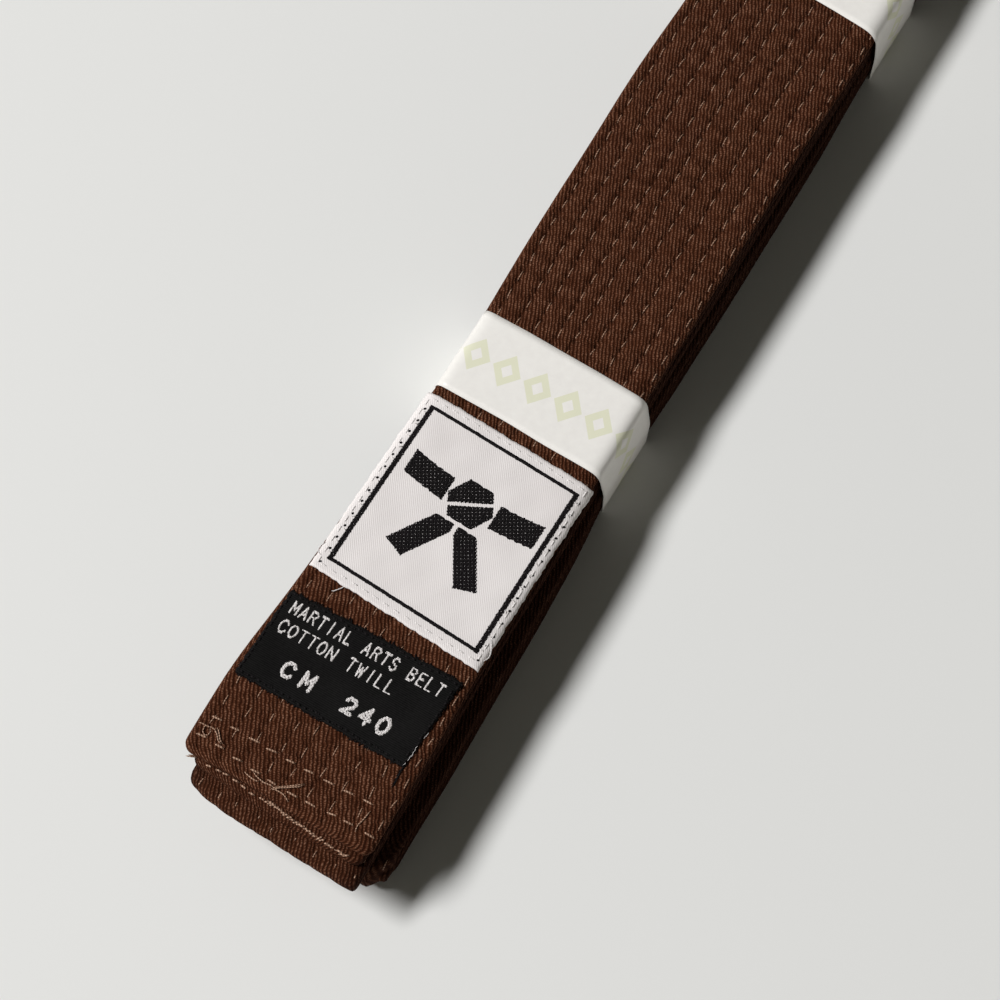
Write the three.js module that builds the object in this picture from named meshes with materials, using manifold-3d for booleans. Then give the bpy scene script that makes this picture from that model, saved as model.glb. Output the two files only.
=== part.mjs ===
// Martial arts belt, folded flat in eight layers and held by two paper bands.
// Millimetres. X runs across the belt, Y along the folded bundle, Z up.
// The labelled tip is on top, at the -Y end.

import * as THREE from 'three';
import Module from 'manifold-3d';
import { mergeVertices } from 'three/addons/utils/BufferGeometryUtils.js';

const wasm = await Module();
wasm.setup();

// Driving sizes of the belt.
const BELT_WIDTH = 40;
const BELT_LENGTH = 2400;
const LAYER_COUNT = 8;
const LAYER_PITCH = 2.3;

// Twill casing and the two canvas plies it is wrapped round.
const COVER_HALF_THICKNESS = 0.8;
const COVER_WALL = 0.35;
const COVER_CORNER = 0.6;
const SEAM_OFFSET = -1.6;
const SEAM_GAP = 0.3;
const PLY_HALF_WIDTH = 19.4;
const PLY_INNER = 0.06;
const PLY_OUTER = 0.39;
const TIP_WALL = 0.5;

// Sewing threads lie on the casing with a hair of clearance.
const THREAD_GAP = 0.05;
const THREAD_HEIGHT = 0.2;
const THREAD_WIDTH = 0.3;
const QUILT_ROWS = [-17.2, -12.5, -8.4, -3.5, 0.2, 4.9, 9.7, 14.5, 18.9];
const QUILT_MARGIN = 11;
const TIP_ROWS = [0.9, 3.6, 8.7];
const TIP_ROW_HALF_WIDTH = 18.4;

// The fold. Y is measured from the labelled tip, before centring.
const STACK_BASE = 0.6;
const SECOND_TIP_Y = -1.2;
const SMALL_BEND_Y = -1.8;
const NESTED_BEND_Y = 5.5;
const LOWER_SHIFT = 1;
const SHIFT_FULL_Y = 112;
const SHIFT_END_Y = 200;
const BEND_STEPS = 6;

// Labels sewn on the top layer.
const PATCH = { width: 39.4, length: 44, height: 0.5, x: 0.5, y: 66.3, turn: -1.5, inset: 1.3 };
const LABEL = { width: 39, length: 19.4, height: 0.4, x: 0, y: 28.8, turn: 1.2, inset: 0.6 };

// Paper bands.
const BAND_WIDTH = 19.5;
const BAND_PAPER = 0.25;
const BAND_CORNER = 1.3;
const BAND_CLEARANCE = 0.35;
const NEAR_BAND_Y = 90.8;
const FAR_BAND_Y = 209.8;
const LAP_INNER_END = -6;
const LAP_OUTER_END = 6;
const LAP_RAMP = 2.5;

const layerZ = (layer) => STACK_BASE + (LAYER_COUNT - layer + 0.5) * LAYER_PITCH;
const MIDDLE_Z = STACK_BASE + (LAYER_COUNT * LAYER_PITCH) / 2;
const THREAD_OUTER = COVER_HALF_THICKNESS + THREAD_GAP + THREAD_HEIGHT;

const materials = {
  twill: new THREE.MeshStandardMaterial({ name: 'brown_twill', color: 0x5a3726, roughness: 0.9 }),
  canvas: new THREE.MeshStandardMaterial({ name: 'core_canvas', color: 0xd8cdb8, roughness: 0.95 }),
  tan: new THREE.MeshStandardMaterial({ name: 'tan_thread', color: 0x9a7358, roughness: 0.7 }),
  patch: new THREE.MeshStandardMaterial({ name: 'white_satin', color: 0xeae6e4, roughness: 0.6 }),
  white: new THREE.MeshStandardMaterial({ name: 'white_thread', color: 0xf2eeee, roughness: 0.6 }),
  label: new THREE.MeshStandardMaterial({ name: 'black_taffeta', color: 0x171719, roughness: 0.7 }),
  black: new THREE.MeshStandardMaterial({ name: 'black_thread', color: 0x101012, roughness: 0.7 }),
  paper: new THREE.MeshStandardMaterial({ name: 'white_paper', color: 0xedebe7, roughness: 0.35 }),
};

// Straight runs join the bends in this order, starting from the labelled tip.
const FOLD_ORDER = [1, 8, 5, 4, 3, 6, 7, 2];

// The far bends share one centre, placed so that the whole strip is BELT_LENGTH long.
function farBendY() {
  let bends = 0;
  for (let i = 1; i < FOLD_ORDER.length; i += 1) {
    const rise = Math.abs(FOLD_ORDER[i] - FOLD_ORDER[i - 1]);
    bends += (Math.PI * rise * LAYER_PITCH) / 2;
  }
  const nearEnds = SECOND_TIP_Y + 2 * SMALL_BEND_Y + 4 * NESTED_BEND_Y;
  return (BELT_LENGTH - bends + nearEnds) / LAYER_COUNT;
}

// Where a layer's straight run starts at the labelled end.
function nearRunY(layer) {
  if (layer === 1) return 0;
  if (layer === 2) return SECOND_TIP_Y;
  return layer <= 4 ? SMALL_BEND_Y : NESTED_BEND_Y;
}

// The lower four layers lie a little to one side over the labelled half.
function shiftAt(y, z) {
  if (z > MIDDLE_Z) return 0;
  const share = (SHIFT_END_Y - y) / (SHIFT_END_Y - SHIFT_FULL_Y);
  return LOWER_SHIFT * Math.min(1, Math.max(0, share));
}

// One station of the path: a point and the direction that the labelled side faces.
function station(y, z, ny, nz) {
  return { x: shiftAt(y, z), y, z, ny, nz };
}

// Stations of the folded strip from tip to tip, cut short by trim at both tips.
function foldPath(trim) {
  const farY = farBendY();
  const path = [];
  FOLD_ORDER.forEach((layer, i) => {
    const z = layerZ(layer);
    const outward = i % 2 === 0;
    const facing = outward ? 1 : -1;
    const cut = layer <= 2 ? trim : 0;
    const run = [nearRunY(layer) + cut, SHIFT_FULL_Y, SHIFT_END_Y, farY];
    if (!outward) run.reverse();
    run.forEach((y) => path.push(station(y, z, 0, facing)));
    if (i === FOLD_ORDER.length - 1) return;
    const nextZ = layerZ(FOLD_ORDER[i + 1]);
    const radius = Math.abs(nextZ - z) / 2;
    const centreY = run[run.length - 1];
    const centreZ = (z + nextZ) / 2;
    const reach = outward ? 1 : -1;
    const rise = Math.sign(z - nextZ);
    const labelSideOut = facing * rise;
    for (let k = 1; k < BEND_STEPS; k += 1) {
      const angle = (Math.PI * k) / BEND_STEPS;
      const dy = reach * Math.sin(angle);
      const dz = rise * Math.cos(angle);
      path.push(station(centreY + radius * dy, centreZ + radius * dz, labelSideOut * dy, labelSideOut * dz));
    }
  });
  return path;
}

// Turns a closed body the right way out if its faces point inwards.
function faceOutwards(positions, index) {
  let volume = 0;
  const corner = (i) => new THREE.Vector3().fromArray(positions, 3 * index[i]);
  for (let i = 0; i < index.length; i += 3) {
    volume += corner(i).dot(corner(i + 1).cross(corner(i + 2)));
  }
  return volume < 0 ? index.slice().reverse() : index;
}

// Sweeps a section (u across, w towards the labelled side) along stations.
function sweep(section, path) {
  const count = section.length;
  const positions = [];
  path.forEach((at) => {
    section.forEach(([u, w]) => positions.push(at.x + u, at.y + w * at.ny, at.z + w * at.nz));
  });
  const index = [];
  for (let s = 0; s < path.length - 1; s += 1) {
    for (let i = 0; i < count; i += 1) {
      const j = (i + 1) % count;
      const a = s * count + i;
      const b = s * count + j;
      index.push(a, b, b + count, a, b + count, a + count);
    }
  }
  const outline = section.map(([u, w]) => new THREE.Vector2(u, w));
  const last = (path.length - 1) * count;
  THREE.ShapeUtils.triangulateShape(outline, []).forEach(([a, b, c]) => {
    index.push(a, c, b, last + a, last + b, last + c);
  });
  const geometry = new THREE.BufferGeometry();
  geometry.setAttribute('position', new THREE.Float32BufferAttribute(positions, 3));
  geometry.setIndex(faceOutwards(positions, index));
  return geometry;
}

function toManifold(geometry) {
  const bare = geometry.clone();
  bare.deleteAttribute('normal');
  bare.deleteAttribute('uv');
  const merged = mergeVertices(bare, 1e-4);
  const vertProperties = new Float32Array(merged.attributes.position.array);
  const triVerts = new Uint32Array(merged.index.array);
  return new wasm.Manifold(new wasm.Mesh({ numProp: 3, vertProperties, triVerts }));
}

function join(geometries) {
  const solid = geometries.map(toManifold).reduce((sum, next) => sum.add(next));
  const mesh = solid.getMesh();
  const geometry = new THREE.BufferGeometry();
  geometry.setAttribute('position', new THREE.Float32BufferAttribute(mesh.vertProperties, 3));
  geometry.setIndex(Array.from(mesh.triVerts));
  return geometry;
}

function rectangle(u0, u1, w0, w1) {
  return [[u0, w0], [u1, w0], [u1, w1], [u0, w1]];
}

function roundedCorner(u, w, radius, startAngle) {
  return [0, 0.5, 1].map((share) => {
    const angle = startAngle + (share * Math.PI) / 2;
    return [u + radius * Math.cos(angle), w + radius * Math.sin(angle)];
  });
}

// Outer outline of the casing, anticlockwise from the lower left corner.
function coverOutline() {
  const u = BELT_WIDTH / 2 - COVER_CORNER;
  const w = COVER_HALF_THICKNESS - COVER_CORNER;
  return [
    ...roundedCorner(u, -w, COVER_CORNER, -Math.PI / 2),
    ...roundedCorner(u, w, COVER_CORNER, 0),
    ...roundedCorner(-u, w, COVER_CORNER, Math.PI / 2),
    ...roundedCorner(-u, -w, COVER_CORNER, Math.PI),
  ];
}

// Casing: one twill strip wrapped round the core, its edges meeting at a lengthwise seam.
function coverGeometry() {
  const inU = BELT_WIDTH / 2 - COVER_WALL;
  const inW = COVER_HALF_THICKNESS - COVER_WALL;
  const right = SEAM_OFFSET + SEAM_GAP / 2;
  const left = SEAM_OFFSET - SEAM_GAP / 2;
  const section = [
    [right, -COVER_HALF_THICKNESS],
    ...coverOutline(),
    [left, -COVER_HALF_THICKNESS],
    [left, -inW],
    [-inU, -inW],
    [-inU, inW],
    [inU, inW],
    [inU, -inW],
    [right, -inW],
  ];
  const tube = sweep(section, foldPath(0));
  const tips = [1, 2].map((layer) => {
    const y = nearRunY(layer);
    const z = layerZ(layer);
    const facing = layer === 1 ? 1 : -1;
    return sweep(coverOutline(), [station(y, z, 0, facing), station(y + TIP_WALL, z, 0, facing)]);
  });
  return join([tube, ...tips]);
}

// Core: two canvas plies, one on each side of the strip's middle.
function plyGeometry(side) {
  const w0 = side > 0 ? PLY_INNER : -PLY_OUTER;
  const w1 = side > 0 ? PLY_OUTER : -PLY_INNER;
  return sweep(rectangle(-PLY_HALF_WIDTH, PLY_HALF_WIDTH, w0, w1), foldPath(TIP_WALL + 0.3));
}

// Lowest and highest offset of a thread on one face of the strip.
function threadSpan(side) {
  const inner = COVER_HALF_THICKNESS + THREAD_GAP;
  return side > 0 ? [inner, THREAD_OUTER] : [-THREAD_OUTER, -inner];
}

// Quilting: a sewing thread that runs the whole length of the strip.
function quiltGeometry(u, side) {
  const [w0, w1] = threadSpan(side);
  return sweep(rectangle(u - THREAD_WIDTH / 2, u + THREAD_WIDTH / 2, w0, w1), foldPath(QUILT_MARGIN));
}

// Tip seams: threads sewn across the strip where the casing is folded in and closed.
function tipGeometry(layer, distance, side) {
  const facing = layer === 1 ? 1 : -1;
  const [w0, w1] = threadSpan(side);
  const y = nearRunY(layer) + distance;
  const z = layerZ(layer);
  const section = rectangle(-TIP_ROW_HALF_WIDTH, TIP_ROW_HALF_WIDTH, w0, w1);
  const half = THREAD_WIDTH / 2;
  return sweep(section, [station(y - half, z, 0, facing), station(y + half, z, 0, facing)]);
}

function roundedRectangle(shape, width, length, radius) {
  const x = width / 2;
  const y = length / 2;
  shape.moveTo(-x + radius, -y);
  shape.lineTo(x - radius, -y);
  shape.quadraticCurveTo(x, -y, x, -y + radius);
  shape.lineTo(x, y - radius);
  shape.quadraticCurveTo(x, y, x - radius, y);
  shape.lineTo(-x + radius, y);
  shape.quadraticCurveTo(-x, y, -x, y - radius);
  shape.lineTo(-x, -y + radius);
  shape.quadraticCurveTo(-x, -y, -x + radius, -y);
  return shape;
}

function placeOnTop(geometry, label, lift) {
  geometry.rotateZ(THREE.MathUtils.degToRad(label.turn));
  geometry.translate(label.x, label.y, layerZ(1) + THREAD_OUTER + THREAD_GAP + lift);
  return geometry;
}

// Woven label: a thin cloth plate on the top layer.
function labelGeometry(label) {
  const shape = roundedRectangle(new THREE.Shape(), label.width, label.length, 0.6);
  const options = { depth: label.height, bevelEnabled: false, curveSegments: 3 };
  return placeOnTop(new THREE.ExtrudeGeometry(shape, options), label, 0);
}

// The thread that sews a label down, all the way round inside its edge.
function labelThreadGeometry(label) {
  const width = label.width - 2 * label.inset;
  const length = label.length - 2 * label.inset;
  const shape = roundedRectangle(new THREE.Shape(), width, length, 0.6);
  const hole = roundedRectangle(new THREE.Path(), width - 2 * THREAD_WIDTH, length - 2 * THREAD_WIDTH, 0.4);
  shape.holes.push(hole);
  const options = { depth: THREAD_HEIGHT, bevelEnabled: false, curveSegments: 3 };
  return placeOnTop(new THREE.ExtrudeGeometry(shape, options), label, label.height + THREAD_GAP);
}

// Middle line of a paper band, from its inner lapped end round to its outer end.
function bandLine() {
  const half = BAND_PAPER / 2;
  const left = -BELT_WIDTH / 2 - BAND_CLEARANCE - half;
  const right = BELT_WIDTH / 2 + LOWER_SHIFT + BAND_CLEARANCE + half;
  const lapZ = half + BAND_PAPER + THREAD_GAP;
  const labelTop = PATCH.height + THREAD_GAP + THREAD_HEIGHT;
  const top = layerZ(1) + THREAD_OUTER + THREAD_GAP + labelTop + 0.1 + half;
  const arc = (x, z, startAngle) => [0, 1, 2, 3, 4].map((step) => {
    const angle = startAngle + (step * Math.PI) / 8;
    return [x + BAND_CORNER * Math.cos(angle), z + BAND_CORNER * Math.sin(angle)];
  });
  return [
    [LAP_INNER_END, lapZ],
    [LAP_OUTER_END + 1, lapZ],
    [LAP_OUTER_END + 1 + LAP_RAMP, half],
    ...arc(right - BAND_CORNER, half + BAND_CORNER, -Math.PI / 2),
    ...arc(right - BAND_CORNER, top - BAND_CORNER, 0),
    ...arc(left + BAND_CORNER, top - BAND_CORNER, Math.PI / 2),
    ...arc(left + BAND_CORNER, half + BAND_CORNER, Math.PI),
    [LAP_OUTER_END, half],
  ];
}

// Both faces of a strip of paper whose middle line is given, as one closed outline.
function stripOutline(line, thickness) {
  const points = line.map(([x, z]) => new THREE.Vector2(x, z));
  const faces = [1, -1].map((side) => points.map((point, i) => {
    const before = points[Math.max(0, i - 1)];
    const after = points[Math.min(points.length - 1, i + 1)];
    const into = i > 0 ? point.clone().sub(before).normalize() : after.clone().sub(point).normalize();
    const out = i < points.length - 1 ? after.clone().sub(point).normalize() : into.clone();
    const middle = into.clone().add(out).normalize();
    const mitre = thickness / 2 / middle.dot(out);
    return new THREE.Vector2(point.x - side * middle.y * mitre, point.y + side * middle.x * mitre);
  }));
  return [...faces[0], ...faces[1].reverse()];
}

// Paper band: one strip wrapped round the bundle, its ends lapped and glued underneath.
function bandGeometry(y) {
  const shape = new THREE.Shape(stripOutline(bandLine(), BAND_PAPER));
  const geometry = new THREE.ExtrudeGeometry(shape, { depth: BAND_WIDTH, bevelEnabled: false });
  geometry.rotateX(Math.PI / 2);
  geometry.translate(0, y + BAND_WIDTH, 0);
  return geometry;
}

const belt = new THREE.Group();
belt.name = 'martial_arts_belt';

function addPart(name, geometry, material) {
  const mesh = new THREE.Mesh(geometry, material);
  mesh.name = name;
  belt.add(mesh);
}

addPart('twill_casing', coverGeometry(), materials.twill);
addPart('core_ply_label_side', plyGeometry(1), materials.canvas);
addPart('core_ply_seam_side', plyGeometry(-1), materials.canvas);

QUILT_ROWS.forEach((u, row) => {
  addPart(`quilting_needle_thread_${row + 1}`, quiltGeometry(u, 1), materials.tan);
  addPart(`quilting_bobbin_thread_${row + 1}`, quiltGeometry(u, -1), materials.tan);
});

[[1, 'labelled_tip'], [2, 'plain_tip']].forEach(([layer, tip]) => {
  TIP_ROWS.forEach((distance, i) => {
    addPart(`${tip}_needle_thread_${i + 1}`, tipGeometry(layer, distance, 1), materials.tan);
    addPart(`${tip}_bobbin_thread_${i + 1}`, tipGeometry(layer, distance, -1), materials.tan);
  });
});

addPart('woven_patch', labelGeometry(PATCH), materials.patch);
addPart('woven_patch_thread', labelThreadGeometry(PATCH), materials.white);
addPart('size_label', labelGeometry(LABEL), materials.label);
addPart('size_label_thread', labelThreadGeometry(LABEL), materials.black);
addPart('near_paper_band', bandGeometry(NEAR_BAND_Y), materials.paper);
addPart('far_paper_band', bandGeometry(FAR_BAND_Y), materials.paper);

// The origin is at the middle of the bundle's footprint, on the surface it lies on.
const box = new THREE.Box3().setFromObject(belt);
const middle = box.getCenter(new THREE.Vector3());
belt.children.forEach((mesh) => mesh.geometry.translate(-middle.x, -middle.y, -box.min.z));

export default belt;
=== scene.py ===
"""Martial arts belt, folded flat in eight layers and held by two paper bands.

Lengths are millimetres unless a name says otherwise; meshes are scaled to metres as they are made.
The strip is described by q, the place across it (-20 to 20), and s, the distance along it from the
labelled tip. y is also measured from the labelled tip, and turned into the row frame by TIP_Y.
"""

import math

import bpy
import numpy as np
from mathutils import Matrix, Quaternion, Vector


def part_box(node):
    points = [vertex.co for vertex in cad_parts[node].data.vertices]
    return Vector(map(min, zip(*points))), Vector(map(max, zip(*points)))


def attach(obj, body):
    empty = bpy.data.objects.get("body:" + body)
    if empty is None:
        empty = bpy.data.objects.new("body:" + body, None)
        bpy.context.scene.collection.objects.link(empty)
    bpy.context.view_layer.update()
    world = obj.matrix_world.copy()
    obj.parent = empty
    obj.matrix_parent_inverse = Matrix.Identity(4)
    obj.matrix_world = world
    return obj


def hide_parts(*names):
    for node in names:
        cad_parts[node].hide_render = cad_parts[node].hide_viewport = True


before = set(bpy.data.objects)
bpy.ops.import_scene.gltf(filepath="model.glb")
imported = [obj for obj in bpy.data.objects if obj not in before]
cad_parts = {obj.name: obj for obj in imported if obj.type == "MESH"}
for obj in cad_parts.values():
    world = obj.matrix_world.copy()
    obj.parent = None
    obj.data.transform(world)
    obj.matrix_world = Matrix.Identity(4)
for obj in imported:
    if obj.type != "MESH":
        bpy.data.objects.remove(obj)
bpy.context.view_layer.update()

MM = 0.001
TAU = 2 * math.pi
rng = np.random.default_rng


def box_mm(node):
    low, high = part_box(node)
    return np.array(low) / MM, np.array(high) / MM


def middle(node):
    low, high = box_mm(node)
    return (low + high) / 2


# ---- places, from the frame

casing_low, casing_high = box_mm("twill_casing")
NOMINAL_HALF = 20.0
CENTRE_X = casing_low[0] + NOMINAL_HALF
FIRST_TIP_ROW = 0.9  # from the tip to its first seam
TIP_Y = middle("labelled_tip_needle_thread_1")[1] - FIRST_TIP_ROW
FAR_REACH = 8.85  # outermost far bend, from its centre to the casing's face
FAR_Y = casing_high[1] - FAR_REACH - TIP_Y

ROW_COUNT = sum(name.startswith("quilting_needle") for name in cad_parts)
THREAD_HALF = 0.15
ROWS = np.array([
    box_mm(f"quilting_needle_thread_{k + 1}")[0][0] + THREAD_HALF - CENTRE_X
    for k in range(ROW_COUNT)
])


def band_span(node, settles):
    """Near and far edge of a band that has slid on a little against the loose labelled end."""
    low, high = box_mm(node)
    return low[1] - TIP_Y + settles, high[1] - TIP_Y + settles


NEAR_BAND = band_span("near_paper_band", 0.5)
FAR_BAND = band_span("far_paper_band", 1.5)
NEAR_BAND_MIDDLE = sum(NEAR_BAND) / 2
FAR_BAND_MIDDLE = sum(FAR_BAND) / 2

# ---- the fold

# Layers are counted from the labelled one on top, which is 1.
LAYERS = 8
PITCH = 2.25
STACK_BASE = 0.2
HALF_THICKNESS = 1.02
EDGE_RADIUS = 0.95
FOLD_ORDER = (1, 8, 5, 4, 3, 6, 7, 2)  # the layers, going along the strip
# Where each layer's straight run stops near the labelled end.
NEAR_RUN_Y = {1: 0.4, 2: -1.5, 3: -3.2, 4: -3.2, 5: 2.7, 6: 2.7, 7: 2.7, 8: 2.7}
FINE_STEP = {1: 0.6, 8: 2.0}  # between stations, on the layers that show
COARSE_STEP = 9.0
SQUEEZE = (72, 128)  # the edges change fast here, so hidden layers are sampled more closely
BEND_STEPS = {7: 30, 5: 10, 3: 16, 1: 10}  # by how many layers the bend spans

# Left and right edge of each group of layers, from the belt's centre line, along the bundle.
EDGE_Y = (-8, 20, 45, 80, 93, 109, 124, 170, 200, 320)
EDGES = {
    "labelled": ((-20.4, -21.1, -19.4, -18.9, -18.5, -18.6, -19.3, -20.2, -20.4, -20.4),
                 (22.1, 21.9, 21.1, 20.5, 20.0, 19.7, 19.8, 19.7, 19.6, 19.6)),
    "plain": ((-17.4, -18.2, -18.9, -18.9, -18.5, -18.6, -19.3, -20.1, -20.4, -20.4),
              (21.6, 21.6, 21.0, 20.5, 20.0, 19.8, 19.9, 19.7, 19.6, 19.6)),
    "small": ((-17.1, -17.6, -18.2, -18.7, -18.4, -18.5, -19.5, -20.1, -20.3, -20.4),
              (22.2, 21.9, 21.3, 20.8, 20.2, 20.1, 20.3, 19.9, 19.6, 19.6)),
    "nested": ((-14.6, -15.3, -16.0, -16.5, -17.0, -17.1, -17.9, -19.2, -20.0, -20.4),
               (25.6, 24.8, 23.9, 22.8, 21.0, 20.9, 21.4, 21.1, 20.4, 19.6)),
}
GROUPS = {1: "labelled", 2: "plain", 3: "small", 4: "small"}

# The stack is loose at the near end, pressed under the near band and lower beyond it.
HEIGHT_Y = (-10, 45, 66, 92, 110, 128, 320)
HEIGHT_SCALE = (1.035, 1.03, 1.0, 0.945, 0.94, 0.96, 0.955)


def bell(x, centre, width, power=2):
    """1 at the centre, falling away to either side; a power of 4 makes it flat on top."""
    return np.exp(-(((x - centre) / width) ** power))


def wobble(t, seed, wavelengths=(41.0, 67.0, 113.0)):
    """A smooth wandering value of about -1 to 1."""
    shift = rng(seed).uniform(0, TAU, len(wavelengths))
    waves = [np.sin(TAU * np.asarray(t) / w + p) for w, p in zip(wavelengths, shift)]
    return sum(waves) / len(wavelengths) * 1.4


def edges_of(layer, y):
    group = GROUPS.get(layer, "nested")
    smooth = (-6, -3, 0, 3, 6)
    left, right = [
        sum(np.interp(y + d, EDGE_Y, edge) for d in smooth) / len(smooth)
        for edge in EDGES[group]
    ]
    stray = 0.22 * wobble(y, 300 + layer) * (1 - bell(y, NEAR_BAND_MIDDLE, 22))
    return left + stray, right + stray


def height_scale(y):
    return np.interp(y, HEIGHT_Y, HEIGHT_SCALE) + 0.003 * wobble(y, 7)


def edge_droop(q, y, z):
    """How far the layers' edges are pulled down, most under the bands and near the top."""
    pressed = bell(y, NEAR_BAND_MIDDLE, 15) + 1.5 * bell(y, FAR_BAND_MIDDLE, 17)
    out = np.clip((np.abs(q) - 14.0) / 6.0, 0, 1.2) ** 2
    return (0.2 + 1.1 * pressed) * out * np.clip(z / 18, 0, 1) ** 1.5


def layer_z(layer):
    return STACK_BASE + (LAYERS - layer + 0.5) * PITCH


TIP_STEPS = np.array([0, 0.05, 0.16, 0.34, 0.6, 0.9, 1.3, 1.8, 2.4])


def run_of(layer):
    """y values of a straight run, from the labelled end, close together at a tip."""
    start = NEAR_RUN_Y[layer]
    if layer == 1:
        rest = start + np.arange(3.0, FAR_Y - start - 0.4, FINE_STEP[1])
        return np.concatenate([start + TIP_STEPS, rest, [FAR_Y]])
    if layer in FINE_STEP:
        return np.linspace(start, FAR_Y, round((FAR_Y - start) / FINE_STEP[layer]))
    first, tip = start, []
    if layer == 2:
        first = start + 16
        tip = np.concatenate([start + TIP_STEPS, start + np.arange(3.1, 14, 0.7)])
    before = np.linspace(first, SQUEEZE[0], round((SQUEEZE[0] - first) / COARSE_STEP))
    squeezed = np.arange(SQUEEZE[0] + 3, SQUEEZE[1], 3)
    after = np.linspace(SQUEEZE[1], FAR_Y, round((FAR_Y - SQUEEZE[1]) / COARSE_STEP))
    return np.concatenate([tip, before, squeezed, after])


def make_stations():
    """Stations along the strip's middle line, from tip to tip.

    Each is y, z, the way the labelled face looks, the layers before and after, how far a bend has
    gone from one to the other, and whether the station is finely modelled.
    """
    rows = []
    for i, layer in enumerate(FOLD_ORDER):
        outward = i % 2 == 0
        facing = 1 if outward else -1
        ys = run_of(layer)
        for y in ys if outward else ys[::-1]:
            rows.append((y, layer_z(layer), 0, facing, layer, layer, 0, layer in FINE_STEP))
        if i == len(FOLD_ORDER) - 1:
            break
        after = FOLD_ORDER[i + 1]
        centre_y = ys[-1] if outward else ys[0]
        centre_z = (layer_z(layer) + layer_z(after)) / 2
        radius = abs(layer_z(layer) - layer_z(after)) / 2
        rise = np.sign(layer_z(layer) - layer_z(after))
        steps = BEND_STEPS[abs(layer - after)]
        for k in range(1, steps):
            angle = math.pi * k / steps
            dy = facing * math.sin(angle)
            dz = rise * math.cos(angle)
            out = facing * rise
            rows.append((centre_y + radius * dy, centre_z + radius * dz, out * dy, out * dz, layer,
                         after, k / steps, 1))
    return np.array(rows, float)


stations = make_stations()
station_y, flat_z, normal_y, normal_z, layer_a, layer_b, blend, fine = stations.T
station_s = np.concatenate([[0], np.cumsum(np.hypot(np.diff(station_y), np.diff(flat_z)))])
STRIP_LENGTH = station_s[-1]
station_z = flat_z * height_scale(station_y)


def station_edges():
    ends = []
    for layers in (layer_a, layer_b):
        pair = np.zeros((2, len(station_y)))
        for layer in range(1, LAYERS + 1):
            here = layers == layer
            pair[:, here] = edges_of(layer, station_y[here])
        ends.append(pair)
    return ends[0] * (1 - blend) + ends[1] * blend


left_edge, right_edge = station_edges()
tip_distance = np.minimum(station_s, STRIP_LENGTH - station_s)

# The strip's ends are rounded in plan and in thickness.
TIP_CORNER = 2.3
TIP_ROUND = 1.9


def quarter_round(distance, radius):
    inside = np.clip(1 - np.asarray(distance) / radius, 0, 1)
    return np.sqrt(np.clip(1 - inside**2, 0, 1))


corner_cut = TIP_CORNER * (1 - quarter_round(tip_distance, TIP_CORNER))
half_width = (right_edge - left_edge) / 2 - corner_cut
strip_x = CENTRE_X + (left_edge + right_edge) / 2
tip_fat = 1 + 0.13 * bell(tip_distance, 0, 9, 4)
tip_taper = quarter_round(tip_distance, TIP_ROUND) * 0.98 + 0.02
station_z = station_z + HALF_THICKNESS * (tip_fat - 1) * np.where(station_s < 40, 1.6, 0.4)


def bend_s(layer, after):
    return station_s[(layer_a == layer) & (layer_b == after)].mean()


SMALL_BEND_S = bend_s(4, 3)
NESTED_BEND_S = bend_s(8, 5)


def end_shape(q, s):
    """Plan shape of the near ends: how far each is pulled back from square."""
    small = 0.018 * (NOMINAL_HALF - q) + 2.2 * np.exp(-(q + NOMINAL_HALF) / 3)
    nested = 4.5 * np.clip((q - 17) / 3, 0, 1) ** 1.2
    first = 0.2 + 0.45 * bell(q, -8, 9)
    second = 1.0 * np.clip((2 - q) / 20, 0, 1)
    return (small * bell(s, SMALL_BEND_S, 11, 4) + nested * bell(s, NESTED_BEND_S, 12, 4)
            + first * bell(s, 0, 5) + second * bell(s, STRIP_LENGTH, 8))


# ---- quilting

STITCH_PERIOD = 4.72
STITCH_SHARE = 0.58  # of the period, where the thread shows
row_phase = rng(5).uniform(0, 1, (2, ROW_COUNT))


def ripple(q, s, seed, count=7):
    """Soft unevenness of the padded cloth, about -1 to 1."""
    r = rng(seed)
    total = 0
    for _ in range(count):
        direction = r.uniform(0, math.pi)
        length = r.uniform(5, 15)
        along = q * math.cos(direction) + s * math.sin(direction)
        total = total + np.sin(TAU * along / length + r.uniform(0, TAU))
    return total / math.sqrt(count)


def stitch_window(s, phase):
    """How far a row's thread lies on this face, 0 to 1, and how near it is to passing through."""
    cycle = np.mod(s / STITCH_PERIOD + phase, 1)
    away = np.abs(cycle - 0.5) / (STITCH_SHARE / 2)
    return 1 / (1 + np.exp((away - 1) * 9)), bell(away, 1, 0.22)


def half_height(q, s, side, detail, relief):
    """From the strip's middle to its face, sunk in at the rows, and its painted shade."""
    sunk, pucker, painted_shade = 0, 0, 0
    for row, phase in zip(ROWS, row_phase[side]):
        shown, hole = stitch_window(s, phase)
        depth = 0.12 + 0.10 * shown * detail + 0.24 * hole * detail + 0.08 * (1 - detail)
        dip = 0.10 + 0.20 * hole * detail
        sunk = sunk + depth * bell(q, row, 0.55) + dip * bell(q, row, 1.5)
        # Painted shade along each row, darkest where the thread passes through.
        painted_shade = painted_shade + (0.06 + 0.60 * hole * detail) * bell(q, row, 1.0)
        wave = np.cos(TAU * (s / STITCH_PERIOD + phase))
        pucker = pucker + wave * bell(q, row, 2.0) * detail
    uneven = 0.05 * ripple(q, s, 40 + side)
    height = HALF_THICKNESS + 0.10 - relief * (sunk + 0.15 * pucker - uneven)
    return height, np.clip(painted_shade * relief, 0, 1)


def pulled_ribs(q, s, side):
    """How far the thread drags the cloth's ribs sideways as it passes through."""
    drag = 0
    for row, phase in zip(ROWS, row_phase[side]):
        drag = drag + np.sin(TAU * (s / STITCH_PERIOD + phase)) * bell(q, row, 1.3)
    return 0.10 * drag


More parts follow.
